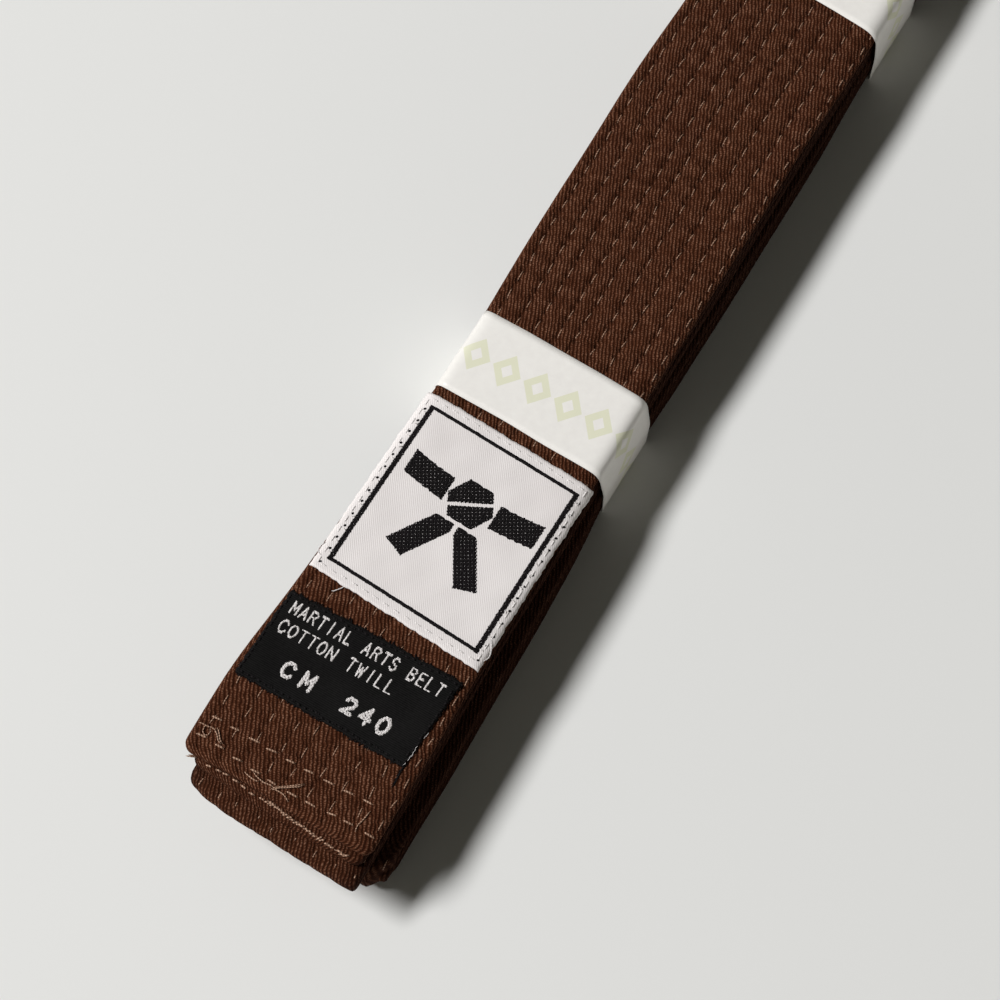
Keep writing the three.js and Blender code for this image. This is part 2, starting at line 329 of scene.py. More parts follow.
# The bundle's outer faces are free to puff; the labelled end, pressed faces and bends are flatter.
labelled_relief = np.interp(station_y, (20, 60, 110), (0.6, 0.7, 1.1))
station_relief = np.where(layer_a == 1, labelled_relief, np.where(layer_a == 8, 1.0, 0.8))
station_relief[blend > 0] = 0.42

# ---- mesh helpers


def make_object(name, points, faces, material, uv=None, smooth=True, painted_shade=None):
    """points are millimetres; uv is a pair per face corner, and the painted shade one per point."""
    mesh = bpy.data.meshes.new(name)
    mesh.from_pydata((np.asarray(points) * MM).tolist(), [], faces)
    mesh.materials.append(material)
    if uv is not None:
        layer = mesh.uv_layers.new(name="cloth")
        layer.data.foreach_set("uv", np.asarray(uv, np.float32).ravel())
    # A value of painted shade for each point, by which the cloth's colour is darkened.
    if painted_shade is not None:
        mesh.attributes.new("painted_shade", "FLOAT", "POINT").data.foreach_set("value", painted_shade)
    mesh.polygons.foreach_set("use_smooth", [smooth] * len(mesh.polygons))
    mesh.update()
    obj = bpy.data.objects.new(name, mesh)
    bpy.context.scene.collection.objects.link(obj)
    return obj


def ring_faces(rings, count):
    """Quads between closed rings of count points, and a cap at each end."""
    a = (np.arange(rings - 1)[:, None] * count + np.arange(count)[None]).ravel()
    b = (np.arange(rings - 1)[:, None] * count + (np.arange(count)[None] + 1) % count).ravel()
    quads = np.stack([a, b, b + count, a + count], 1).tolist()
    caps = [list(range(count))[::-1], [(rings - 1) * count + i for i in range(count)]]
    return quads + caps


def two_skins(rows, count, turned=False):
    """Faces of a closed thin sheet: a grid of points, the same again under it, and the rim."""
    size = rows * count
    i = (np.arange(rows - 1)[:, None] * count + np.arange(count - 1)[None]).ravel()
    skin = np.stack([i, i + 1, i + count + 1, i + count], 1)
    rim = np.concatenate([np.arange(count), np.arange(1, rows) * count + count - 1,
                          (rows - 1) * count + np.arange(count - 2, -1, -1),
                          np.arange(rows - 2, 0, -1) * count])
    after = np.roll(rim, -1)
    sides = np.stack([rim, rim + size, after + size, after], 1)
    if turned:
        skin, sides = skin[:, [0, 3, 2, 1]], sides[:, [0, 3, 2, 1]]
    return np.concatenate([skin, skin[:, ::-1] + size, sides])


UP = (0, 0, 1)
NEXT_THREAD = 3.7  # shift in the uv map, so that no two threads are worn alike


def thread_object(name, lines, radius, material, up=UP, flat=0.8, sides=6):
    """Short threads as one piece. lines is (threads, points, 3); up is one vector, or one each."""
    lines = np.asarray(lines, float)
    many, n, _ = lines.shape
    up = np.broadcast_to(np.asarray(up, float).reshape(-1, 1, 3), lines.shape)
    along = np.gradient(lines, axis=1)
    along /= np.linalg.norm(along, axis=2, keepdims=True) + 1e-9
    across = np.cross(along, up)
    across /= np.linalg.norm(across, axis=2, keepdims=True) + 1e-9
    lift = np.cross(across, along)
    taper = np.sqrt(np.clip(1 - np.abs(np.linspace(-1, 1, n)) ** 5, 0.09, 1))
    angle = np.arange(sides) * TAU / sides
    ring = (np.cos(angle)[:, None] * across[:, :, None]
            + flat * np.sin(angle)[:, None] * lift[:, :, None])
    points = lines[:, :, None] + radius * taper[None, :, None, None] * ring
    one = ring_faces(n, sides)
    faces = [[t * n * sides + v for v in face] for t in range(many) for face in one]
    gone = np.cumsum(np.linalg.norm(np.diff(lines, axis=1), axis=2), 1)
    gone = np.concatenate([np.zeros((many, 1)), gone], 1) + NEXT_THREAD * np.arange(many)[:, None]
    turn = np.arange(sides + 1) / sides
    turn = np.stack([turn[:-1], turn[1:], turn[1:], turn[:-1]], 1)[None, None]
    start, stop = gone[:, :-1], gone[:, 1:]
    length = np.stack([start, start, stop, stop], 2)[:, :, None]
    body = np.stack(np.broadcast_arrays(turn, length), -1).reshape(many, -1, 2)
    caps = np.repeat(gone[:, :1, None] * (0, 1), 2 * sides, 1)
    uv = np.concatenate([body, caps], 1)
    return make_object(name, points.reshape(-1, 3), faces, material, uv)


# ---- node helpers


class Cloth:
    """A material being wired up: short calls for the nodes used here."""

    def __init__(self, name, roughness=0.8, specular=0.25):
        self.material = bpy.data.materials.new(name)
        self.material.use_nodes = True
        self.tree = self.material.node_tree
        self.shader = self.tree.nodes["Principled BSDF"]
        self.shader.inputs["Roughness"].default_value = roughness
        self.shader.inputs["Specular IOR Level"].default_value = specular

    def node(self, kind, **settings):
        made = self.tree.nodes.new(kind)
        for key, value in settings.items():
            setattr(made, key, value)
        return made

    def put(self, value, socket):
        """Links an output to a socket, or sets the socket to a number or a colour."""
        if hasattr(value, "is_output"):
            self.tree.links.new(value, socket)
        elif hasattr(value, "__len__") and len(value) < len(socket.default_value):
            socket.default_value = (*value, 1)
        else:
            socket.default_value = value

    def wire(self, kind, *values, **settings):
        """A node with its first inputs filled in order."""
        made = self.node(kind, **settings)
        for value, socket in zip(values, made.inputs):
            self.put(value, socket)
        return made

    def math(self, operation, *values):
        values = (*values, 0.0, 0.0)[:3]
        return self.wire("ShaderNodeMath", *values, operation=operation).outputs[0]

    def mul(self, a, b):
        return self.math("MULTIPLY", a, b)

    def add(self, a, b):
        return self.math("ADD", a, b)

    def mul_add(self, a, b, c):
        return self.math("MULTIPLY_ADD", a, b, c)

    def wave(self, turns, kind="SINE"):
        """Swings between 0 and 1 once in each turn."""
        return self.mul_add(self.math(kind, self.mul(turns, TAU)), 0.5, 0.5)

    def uv(self):
        made = self.node("ShaderNodeSeparateXYZ")
        self.put(self.node("ShaderNodeUVMap", uv_map="cloth").outputs[0], made.inputs[0])
        return made.outputs[0], made.outputs[1]

    def vector(self, x, y, z=0.0):
        return self.wire("ShaderNodeCombineXYZ", x, y, z).outputs[0]

    def noise(self, vector, scale, detail=2.0, roughness=0.5):
        made = self.wire("ShaderNodeTexNoise", vector, 0.0, scale, detail, roughness)
        return made.outputs["Fac"]

    def ramp(self, value, stops):
        made = self.wire("ShaderNodeValToRGB", value)
        elements = made.color_ramp.elements
        while len(elements) < len(stops):
            elements.new(0.5)
        for element, (place, colour) in zip(elements, stops):
            element.position = place
            element.color = (*colour, 1)
        return made.outputs[0]

    def mix(self, factor, a, b, blend="MIX"):
        made = self.wire("ShaderNodeMix", factor, data_type="RGBA", blend_type=blend)
        self.put(a, made.inputs[6])
        self.put(b, made.inputs[7])
        return made.outputs[2]

    def bump(self, height, distance_mm, strength=1.0):
        made = self.wire("ShaderNodeBump", strength, distance_mm * MM)
        self.put(height, made.inputs["Height"])
        return made.outputs[0]

    def finish(self, colour, normal=None, roughness=None):
        for value, name in ((colour, "Base Color"), (normal, "Normal"), (roughness, "Roughness")):
            if value is not None:
                self.put(value, self.shader.inputs[name])
        return self.material


TWILL_ANGLE = math.radians(25.5)
TWILL_PITCH = 0.758
BEAD_PITCH = 0.48
RIB_SHIFT = 0.37  # of a bead, from one rib to the next


def twill_material():
    m = Cloth("twill", 0.9, 0.06)
    p, s = m.uv()
    cos_a, sin_a = math.cos(TWILL_ANGLE), math.sin(TWILL_ANGLE)
    place = m.vector(p, s)
    drift = m.mul(m.noise(place, 0.11, 3.0), 1.5)
    waver = m.mul(m.noise(place, 0.9, 2.0), 0.9)
    phase = m.mul_add(s, sin_a / TWILL_PITCH, m.add(drift, waver))
    across = m.mul_add(p, cos_a / TWILL_PITCH, phase)
    along = m.add(m.mul(p, -sin_a), m.mul(s, cos_a))
    rib = m.math("POWER", m.wave(across, "COSINE"), 0.8)
    rib_number = m.math("FLOOR", m.add(across, 0.5))
    step = m.mul(rib_number, RIB_SHIFT)
    beads = m.mul_add(along, 1 / BEAD_PITCH, m.mul_add(m.noise(place, 1.1, 2.0), 2.2, step))
    bead = m.wave(beads, "COSINE")
    fibre = m.noise(place, 4.5, 4.0, 0.85)
    worn = m.noise(m.vector(m.mul(rib_number, 3.1), m.mul(along, 0.55)), 1.0, 2.0)
    yarn = m.mul(rib, m.mul_add(bead, 0.5, 0.5))
    plain = m.mul_add(m.noise(place, 0.42, 3.0, 0.6), 0.8, 0.1)
    tone = m.mul_add(m.mul(yarn, plain), 1.42, m.mul(worn, 0.24))
    tone = m.add(tone, m.mul_add(fibre, 1.0, -0.40))
    colour = m.ramp(tone, [(0.12, (0.020, 0.0041, 0.0010)), (0.42, (0.051, 0.0150, 0.0055)),
                           (0.70, (0.113, 0.0410, 0.0200)), (1.0, (0.270, 0.137, 0.086))])
    patchy = m.noise(place, 0.23, 3.0, 0.6)
    patches = m.ramp(patchy, [(0.3, (0.80, 0.76, 0.74)), (0.7, (1.0, 1.0, 1.0))])
    colour = m.mix(1.0, colour, patches, "MULTIPLY")
    # Painted shade: the cloth is mixed towards near black by the value stored on the mesh, in the
    # stitch holes, the cracks between the layers, the bends and beside the top layer.
    painted_shade = m.node("ShaderNodeAttribute", attribute_name="painted_shade").outputs["Fac"]
    colour = m.mix(m.mul(painted_shade, 0.75), colour, (0.012, 0.0030, 0.0012))
    return m.finish(colour, m.bump(m.mul_add(fibre, 0.5, yarn), 0.2, 0.9))


TWIST_PITCH = 0.55


def thread_material(name, colour, pale, roughness=0.62, specular=0.3):
    m = Cloth(name, roughness, specular)
    turn, length = m.uv()
    # The pale stripes along the twist are painted highlights on the plies; the noise gives the
    # thread its own uneven tone.
    twist = m.wave(m.add(m.mul(length, 1 / TWIST_PITCH), turn))
    wear = m.noise(m.vector(turn, length), 1.1, 3.0, 0.7)
    tone = m.add(m.mul(twist, 0.75), m.mul_add(wear, 1.2, -0.45))
    return m.finish(m.ramp(tone, [(0.15, colour), (0.85, pale)]), m.bump(twist, 0.06, 0.8))


SATIN_PITCH = 0.42
WEFT_PITCH = 0.31


def satin_material(name, dark, light, slant, strength, roughness, specular, grain_scale):
    """Fine woven label cloth with slanting satin lines."""
    m = Cloth(name, roughness, specular)
    p, s = m.uv()
    angle = math.radians(slant)
    place = m.vector(p, s)
    line = m.wave(m.add(m.mul(p, math.cos(angle) / SATIN_PITCH),
                        m.mul(s, math.sin(angle) / SATIN_PITCH)))
    weft = m.mul_add(m.math("SINE", m.mul(s, TAU / WEFT_PITCH)), 0.5, 0.5)
    grain = m.noise(place, grain_scale, 3.0, 0.7)
    cloud = m.noise(place, 0.09, 2.0)
    tone = m.add(m.mul(line, 0.3), m.add(m.mul(grain, 0.45), m.mul(cloud, 0.3)))
    height = m.add(line, m.add(m.mul(weft, 0.4), m.mul(grain, 0.6)))
    return m.finish(m.ramp(tone, [(0.2, dark), (0.8, light)]), m.bump(height, 0.05, strength))


PRINT_PITCH = 7.3
LOZENGE = (3.3, 4.0)  # from its middle to its points, round the band and across it
LOZENGE_HOLE = 0.42  # of the lozenge
# The left side, which faces the light, and the paper under it are painted greyer: painted shade
# that keeps that side from glaring.
PAINTED_SHADE_STARTS = (0.345, 0.385)  # decimetres round the band: the painted shade's start


def paper_material():
    """Coated white paper: a pale green row of lozenges printed round it, painted shade on the left.
    """
    m = Cloth("coated_paper", 0.6, 0.15)
    p, s = m.uv()
    cell = m.math("SUBTRACT", m.math("FRACT", m.mul(p, 1 / PRINT_PITCH)), 0.5)
    dx = m.mul(m.math("ABSOLUTE", cell), PRINT_PITCH / LOZENGE[0])
    dy = m.mul(m.math("ABSOLUTE", s), 1 / LOZENGE[1])
    reach = m.add(dx, dy)
    solid = m.math("LESS_THAN", reach, 1.0)
    hole = m.math("GREATER_THAN", reach, LOZENGE_HOLE)
    ink = m.mul(m.mul(solid, hole), 0.85)
    place = m.vector(p, s)
    cloud = m.noise(place, 0.6, 4.0, 0.6)
    paper = m.ramp(cloud, [(0.3, (0.825, 0.80, 0.765)), (0.7, (0.86, 0.838, 0.80))])
    colour = m.mix(ink, paper, (0.735, 0.735, 0.545))
    # Painted shade: from the left side on round underneath, the paper is mixed towards grey.
    painted_side_shade = m.ramp(m.mul(p, 0.01), list(zip(PAINTED_SHADE_STARTS, ((0, 0, 0), (0.42, 0.42, 0.42)))))
    colour = m.mix(painted_side_shade, colour, (0.38, 0.37, 0.35))
    height = m.add(m.noise(place, 0.16, 2.0), m.mul(m.noise(place, 2.2, 3.0), 0.06))
    rough = m.mul_add(m.noise(place, 0.4, 3.0), 0.12, 0.24)
    return m.finish(colour, m.bump(height, 0.25, 0.35), rough)


TWILL = twill_material()
TAN = thread_material("tan_thread", (0.13, 0.058, 0.032), (0.50, 0.32, 0.22))
# A darker copy of the tan thread for the quilting: painted shade, as those stitches lie sunk
# between the puffed cloth.
SHADED_TAN = thread_material("tan_thread_shaded", (0.110, 0.048, 0.028), (0.42, 0.255, 0.170))
WHITE = thread_material("white_thread", (0.66, 0.62, 0.61), (0.80, 0.77, 0.76))
BLACK = thread_material("black_thread", (0.0045, 0.0040, 0.0042), (0.0150, 0.0128, 0.0135),
                        roughness=0.85, specular=0.05)
SATIN = satin_material("white_satin", (0.69, 0.64, 0.63), (0.84, 0.80, 0.785),
                       slant=38, strength=0.5, roughness=0.55, specular=0.35, grain_scale=3.1)
TAFFETA = satin_material("black_taffeta", (0.0008, 0.0008, 0.0008), (0.0145, 0.0139, 0.0136),
                         slant=90, strength=0.35, roughness=0.85, specular=0.03,
                         grain_scale=1.5)
PAPER = paper_material()

# ---- the belt strip

BACK_SAMPLES = 12
EDGE_SAMPLES = 4
TYPICAL_STATION = 60  # well inside the labelled run


def face_places(flat_half):
    """Places across the labelled face, closest together at the rows of stitching."""
    near_rows = (ROWS[:, None] + np.array([-1.15, -0.6, -0.3, 0, 0.3, 0.6, 1.15])).ravel()
    between = np.arange(-flat_half + 1, flat_half - 0.5, 0.8)
    between = between[np.abs(between[:, None] - ROWS).min(1) > 1.5]
    inner = np.sort(np.concatenate([near_rows, between]))
    return np.concatenate([[-flat_half], inner[np.abs(inner) < flat_half - 0.2], [flat_half]])


def placed(q, s, w, ny, nz, at):
    """Points w off the strip's middle surface; at(values) gives the stations' values at s."""
    x = at(strip_x) + q / NOMINAL_HALF * at(half_width)
    y = TIP_Y + at(station_y) + w * ny + end_shape(q, s)
    z = at(station_z) + w * nz - edge_droop(q, at(station_y), at(station_z))
    return np.stack([x, y, z], -1)


def belt_strip():
    def at(values):
        return values[:, None]

    flat_half = NOMINAL_HALF - EDGE_RADIUS
    top_q = face_places(flat_half)
    back_q = np.linspace(flat_half, -flat_half, BACK_SAMPLES)
    arc = np.linspace(math.pi / 2, -math.pi / 2, EDGE_SAMPLES + 2)[1:-1]
    s, detail, relief, thick = at(station_s), at(fine), at(station_relief), at(tip_fat * tip_taper)
    top, top_painted_shade = half_height(top_q[None], s, 0, detail, relief)
    back, back_painted_shade = half_height(back_q[None], s, 1, detail, relief)
    top, back = top * thick, back * thick
    right = (top[:, -1:] + back[:, :1]) / 2
    left = (top[:, :1] + back[:, -1:]) / 2
    edge_q = flat_half + EDGE_RADIUS * np.cos(arc)[None] + 0 * s
    q = np.concatenate([top_q[None] + 0 * s, edge_q, back_q[None] + 0 * s, -edge_q[:, ::-1]], 1)
    w = np.concatenate([top, np.sin(arc)[None] * right, -back, np.sin(arc)[None, ::-1] * left], 1)
    points = placed(q, s, w, at(normal_y), at(normal_z), at)
    # Painted shade, stored on the mesh: the edges lie in the cracks between the layers, except on
    # the labelled run, and are painted dark there. The bends and the lower layers' near ends are
    # painted a little darker for the shade they cast on one another, and so are the lower layers'
    # faces where they stand out beside the top layer, in its shadow.
    inner = at(layer_a != 1)
    crack = (0.9 + 0.1 * np.abs(np.sin(arc)))[None] * inner
    front = np.where(layer_a > 1, np.interp(station_y, (0, 7), (0.3, 0)), 0)
    bend = at(np.where(blend > 0, np.maximum(front, 0.22), front))
    beside = 0.7 * inner * np.clip((np.abs(top_q[None]) - 15) / 4, 0, 1)
    top_painted_shade = top_painted_shade + beside * (1 - bend) + bend
    back_painted_shade = back_painted_shade + bend
    painted_shade = np.clip(np.concatenate([top_painted_shade, crack, back_painted_shade, crack[:, ::-1]], 1), 0, 1)
    drag = np.concatenate([pulled_ribs(top_q[None], s, 0), 0 * edge_q,
                           pulled_ribs(back_q[None], s, 1), 0 * edge_q], 1) * detail
    count = q.shape[1]
    faces = ring_faces(len(s), count)
    # The cloth is one strip wrapped round the core, so its ribs run on round both edges.
    across, up = q[0], w[TYPICAL_STATION]
    girth = np.hypot(np.diff(across, append=across[0]), np.diff(up, append=up[0]))
    around = np.concatenate([[0], np.cumsum(girth)]) - flat_half
    p0 = around[:-1] + drag
    p1 = around[1:] + np.roll(drag, -1, axis=1)
    s0 = np.broadcast_to(s[:-1], (len(s) - 1, count))
    s1 = np.broadcast_to(s[1:], s0.shape)
    uv = np.stack([p0[:-1], s0, p1[:-1], s0, p1[1:], s1, p0[1:], s1], 2).reshape(-1, 2)
    uv = np.concatenate([uv, np.zeros((2 * count, 2))])
    points = points.reshape(-1, 3)
    return make_object("belt_strip", points, faces, TWILL, uv, painted_shade=painted_shade.ravel())


def on_strip(q, s, lift, side=0):
    """Points on a face of the strip, and the direction the face looks."""
    q, s = np.broadcast_arrays(np.asarray(q, float), np.asarray(s, float))

    def at(values):
        return np.interp(s, station_s, values)

    thick = at(tip_fat) * at(tip_taper)
    w = half_height(q, s, side, at(fine), at(station_relief))[0] * thick + lift
    sign = 1 if side == 0 else -1
    size = np.hypot(at(normal_y), at(normal_z)) + 1e-9
    ny, nz = at(normal_y) / size * sign, at(normal_z) / size * sign
    return placed(q, s, w, ny, nz, at), np.stack([0 * ny, ny, nz], -1)


belt = belt_strip()

# ---- stitches

THREAD_RADIUS = 0.17
QUILT_RADIUS = 0.13
LINE_SHARE = np.linspace(-1, 1, 7)  # places along a stitch


def quilting_stitches():
    """The stitches that show: on top, round the far bend, underneath and at the near end."""
    r = rng(21)
    runs = [(2.5, NESTED_BEND_S + 6), (SMALL_BEND_S - 16, SMALL_BEND_S - 3),
            (SMALL_BEND_S + 3, SMALL_BEND_S + 12)]
    lines, ups = [], []

    def add(row, centre, half):
        q = row + r.normal(0, 0.1) + LINE_SHARE * r.normal(0, 0.1)
        lift = 0.10 - 0.34 * np.abs(LINE_SHARE) ** 5 + r.normal(0, 0.02)
        points, up = on_strip(q, centre + LINE_SHARE * half, lift)
        lines.append(points)
        ups.append(up[len(up) // 2])

    for start, stop in runs:
        for row, phase in zip(ROWS, row_phase[0]):
            first = math.ceil(start / STITCH_PERIOD + phase)
            last = math.floor(stop / STITCH_PERIOD + phase)
            for n in range(first, last):
                centre = (n + 0.5 - phase) * STITCH_PERIOD + r.normal(0, 0.12)
                add(row, centre, STITCH_PERIOD * STITCH_SHARE / 2 * r.uniform(0.82, 1.12))
    for row in ROWS:
        add(row, SMALL_BEND_S + r.uniform(1.4, 2.2), r.uniform(0.3, 0.65))
        add(row, SMALL_BEND_S - r.uniform(1.6, 2.6), r.uniform(0.35, 0.6))
    # The quilting stitches take the darker copy of the tan thread, as painted shade.
    return thread_object("quilting_stitches", lines, QUILT_RADIUS, SHADED_TAN, ups)


stitches = quilting_stitches()

TIP_STITCH_PITCH = 4.22
TIP_STITCH_HALF = 1.25


def across_at(x, s):
    """The strip's own q for a place x from the belt's centre line."""
    centre = np.interp(s, station_s, strip_x) - CENTRE_X
    return (x - centre) / np.interp(s, station_s, half_width) * NOMINAL_HALF


def seam_dash(x, y, tip_y, side, turn=0.0, half=TIP_STITCH_HALF, lift=0.15, dip=0.32):
    """One stitch lying across the strip near a tip, centred at x and y from the belt's tip."""
    xs = x + LINE_SHARE * half * math.cos(turn)
    ys = y + LINE_SHARE * half * math.sin(turn)
    s = ys - tip_y if side == 0 else STRIP_LENGTH - (ys - tip_y)
    return on_strip(across_at(xs, s), s, lift - dip * np.abs(LINE_SHARE) ** 5, side)[0]


def tip_seams():
    """The two spaced seams of the labelled tip: where each starts and stops, and how it runs."""
    seams = [(-17.3, 18, lambda x: 8.9 + 0.002 * max(x + 5, 0) ** 2, 0.05, 0.85),
             (-17.9, 21, lambda x: 3.25 + 1.05 * min(1, ((x + 1) / 14) ** 2), 0.06, 0.8)]
    r = rng(31)
    lines = []
    for start, stop, height_of, stray, shortest in seams:
        for x in np.arange(start, stop, TIP_STITCH_PITCH):
            place = x + r.normal(0, 0.15), height_of(x)
            lines.append(seam_dash(*place, NEAR_RUN_Y[1], 0, 0.09 + r.normal(0, stray),
                                   TIP_STITCH_HALF * r.uniform(shortest, 1.1)))
    return thread_object("tip_seam_stitches", lines, THREAD_RADIUS * 1.15, TAN)


tip_stitches = tip_seams()

EDGE_SEAM_X = (-16, -13, -9, -6, -3, 1, 5, 9, 14, 20)
EDGE_SEAM_Y = (-0.5, -0.1, 0.45, 0.0, -0.1, 0.35, -0.1, -0.3, -0.7, -0.75)


def edge_seam():
    """The seam that closes the second tip, just past the labelled one: close, uneven stitches."""
    r = rng(33)
    lines = []

    def add(x, stray_x, stray_y, turn, half, lift, *dip):
        y = np.interp(x, EDGE_SEAM_X, EDGE_SEAM_Y)
        place = x + r.normal(0, stray_x), y + r.normal(0, stray_y)
        lines.append(seam_dash(*place, NEAR_RUN_Y[2], 1, r.normal(*turn), r.uniform(*half),
                               r.uniform(*lift), *dip))

    for x in np.arange(-14.2, 3, 2.05):
        add(x, 0.25, 0.1, (0.12, 0.16), (0.6, 1.0), (0.1, 0.2))
    # From the middle on, the thread lies doubled and twisted like cord.
    for x in np.arange(-1.5, 18.4, 0.78):
        add(x, 0.08, 0.07, (0.42, 0.16), (0.4, 0.72), (-0.02, 0.2), 0.1)
    return thread_object("second_tip_seam", lines, THREAD_RADIUS * 1.12, TAN)


second_seam = edge_seam()

# Thread ends left by the machine on the labelled tip: x and y along each, and how high it lies.
LOOSE_ENDS = [
    ([4.2, 3.4, 2.4, 1.3, 0.4, -0.3, -0.7], [6.5, 5.6, 4.8, 4.0, 3.2, 2.5, 1.9], 0.32),
    ([4.4, 3.6, 2.5, 1.5, 0.5, -0.1, -0.4], [6.3, 5.3, 4.5, 3.8, 3.0, 2.3, 1.9], 0.3),
    ([-0.6, 0.1, 0.9, 1.7, 2.4, 3.0, 3.5], [2.0, 2.3, 2.4, 2.4, 2.2, 1.9, 1.6], 0.22),
    ([-5.5, -4.6, -3.7, -2.8, -2.0, -1.2, -0.4], [3.0, 2.6, 2.4, 2.3, 2.4, 2.6, 2.5], 0.2),
    ([-16.2, -15.7, -15.3, -14.9, -14.5, -14.0, -13.5], [7.2, 6.9, 6.5, 6.0, 5.5, 5.1, 4.9], 0.26),
    ([-16.6, -16.1, -15.7, -15.2, -14.7, -14.2, -13.8], [6.9, 6.4, 6.2, 5.7, 5.1, 4.8, 4.7], 0.24),
    ([-19.9, -19.2, -18.5, -17.8, -17.2, -16.7, -16.2], [6.3, 6.5, 6.5, 6.6, 6.8, 6.7, 6.5], 0.18),
    ([-17.9, -18.5, -18.3, -17.6, -17.0, -16.9, -17.4], [7.0, 6.2, 5.2, 4.7, 5.0, 5.8, 6.5], 0.14),
    ([17.8, 17.7, 17.6, 17.4, 17.2, 17.3, 17.5], [8.6, 7.6, 6.6, 5.7, 4.9, 4.1, 3.4], 0.17),
    ([-7.0, -6.4, -5.8, -5.1, -4.5, -3.9, -3.4], [2.1, 1.9, 1.8, 1.7, 1.7, 1.8, 1.9], 0.12),
]
TAIL_ENDS = ((0.9, -0.1), (1.2, 0.3), (0.8, 0.4))  # y where each tail starts and stops


def loose_ends():
    """The loose ends, and three short tails hanging at the tip's left corner."""
    lines = []
    for x, y, lift in LOOSE_ENDS:
        s = np.array(y) - NEAR_RUN_Y[1]
        lines.append(on_strip(across_at(np.array(x), s), s, lift)[0])
    for k, (y0, y1) in enumerate(TAIL_ENDS):
        x = CENTRE_X + np.linspace(-16.9, -18.9 + 0.4 * k, 7)
        z = np.linspace(16.4, 16.9 + 0.2 * k, 7)
        lines.append(np.stack([x, TIP_Y + np.linspace(y0, y1, 7), z], 1))
    return thread_object("loose_thread_ends", lines, THREAD_RADIUS * 0.78, TAN, flat=1.0)


strays = loose_ends()

# ---- labels


LABEL_BENDS_AT = 18.4  # from the strip's middle line; past it a label follows the rounded edge


class Label:
    """A thin woven label lying on the top layer. Its own u and v run across and along it.

    It isn't sewn on quite square: corners are lower left, lower right, upper left and upper right,
    from the middle of its node.
    """

    def __init__(self, node, width, length, thickness, corners):
        self.centre = middle(node)
        self.width, self.length, self.thickness = width, length, thickness
        self.corners = np.array(corners, float)

    def place(self, u, v, raise_by=0.0):
        """Points above the label's lower face, following the belt's rounded edges."""
        u, v = np.broadcast_arrays(np.asarray(u, float), np.asarray(v, float))
        a = (0.5 + u / self.width)[..., None]
        b = (0.5 + v / self.length)[..., None]
        c = self.corners
        spot = (c[0] * (1 - a) + c[1] * a) * (1 - b) + (c[2] * (1 - a) + c[3] * a) * b
        x, y = self.centre[0] + spot[..., 0], self.centre[1] + spot[..., 1]
        s = y - TIP_Y - NEAR_RUN_Y[1]
        q = across_at(x - CENTRE_X, s)
        over = np.clip(np.abs(q) - LABEL_BENDS_AT, 0, 3)
        z = np.interp(s, station_s, station_z)
        z = z - edge_droop(q, y - TIP_Y, z) + HALF_THICKNESS + 0.1 - 0.16 * over**2
        z = z + 0.04 * ripple(x, y, 77)
        return np.stack([x, y, z + raise_by], -1)


def wavy_edge(t, seed, size):
    return size * wobble(t, seed, (3.1, 5.3, 9.7, 17.0))


def label_sheet(name, label, material, seed, rough, step=0.5):
    """A closed thin sheet with slightly wandering, softly rounded edges."""
    nu, nv = round(label.width / step), round(label.length / step)
    a, b = np.meshgrid(np.linspace(-1, 1, nu), np.linspace(-1, 1, nv))
    u = a * (label.width / 2 + wavy_edge(b * label.length, seed, rough) * np.abs(a))
    v = b * (label.length / 2 + wavy_edge(a * label.width, seed + 1, rough) * np.abs(b))
    inset = np.minimum(label.width / 2 - np.abs(u), label.length / 2 - np.abs(v))
    rounding = quarter_round(np.clip(inset, 0, None) + 0.08, 0.4)
    upper = label.place(u, v, label.thickness * (0.45 + 0.55 * rounding))
    lower = label.place(u, v, label.thickness * 0.45 * (1 - rounding))
    points = np.concatenate([upper.reshape(-1, 3), lower.reshape(-1, 3)])
    uv_of = np.concatenate([np.stack([u, v], -1).reshape(-1, 2)] * 2)
    faces = two_skins(nv, nu)
    return make_object(name, points, faces.tolist(), material, uv_of[faces.ravel()])


FLOAT_SHARE = np.linspace(-1, 1, 5)  # places along a woven float


def woven(name, label, inside, area, pitch, float_length, radius, raise_by, material, seed):
    """A woven motif: weft floats wherever inside(u, v) holds, bound down on staggered points."""
    r = rng(seed)
    u0, v0, u1, v1 = area
    fine_u = np.arange(u0, u1, 0.05)
    lines = []
    for row, v in enumerate(np.arange(v0, v1, pitch)):
        lit = inside(fine_u, v + 0 * fine_u)
        change = np.flatnonzero(np.diff(np.concatenate([[0], lit.astype(int), [0]])))
        for a, b in zip(change[::2], change[1::2]):
            start, stop = fine_u[a], fine_u[b - 1]
            if stop - start < 0.1:
                continue
            binding = start - (start + row * float_length * 0.382) % float_length
            cuts = np.arange(binding, stop, float_length)
            cuts = cuts[(cuts > start + 0.15) & (cuts < stop - 0.15)]
            cuts = np.concatenate([[start], cuts, [stop]])
            for c, d in zip(cuts[:-1], cuts[1:]):
                u = (c + d) / 2 + FLOAT_SHARE * ((d - c) / 2 + 0.03) + r.normal(0, 0.02)
                height = raise_by - 0.05 * FLOAT_SHARE**4
                lines.append(label.place(u, v + r.normal(0, 0.015), height))
    return thread_object(name, lines, radius, material, flat=0.55)


def walk_round(u0, v0, u1, v1):
    """Start, direction and length of each side of an upright rectangle."""
    corners = np.array([(u0, v0), (u1, v0), (u1, v1), (u0, v1)], float)
    for a, b in zip(corners, np.roll(corners, -1, axis=0)):
        length = np.linalg.norm(b - a)
        yield a, (b - a) / length, length


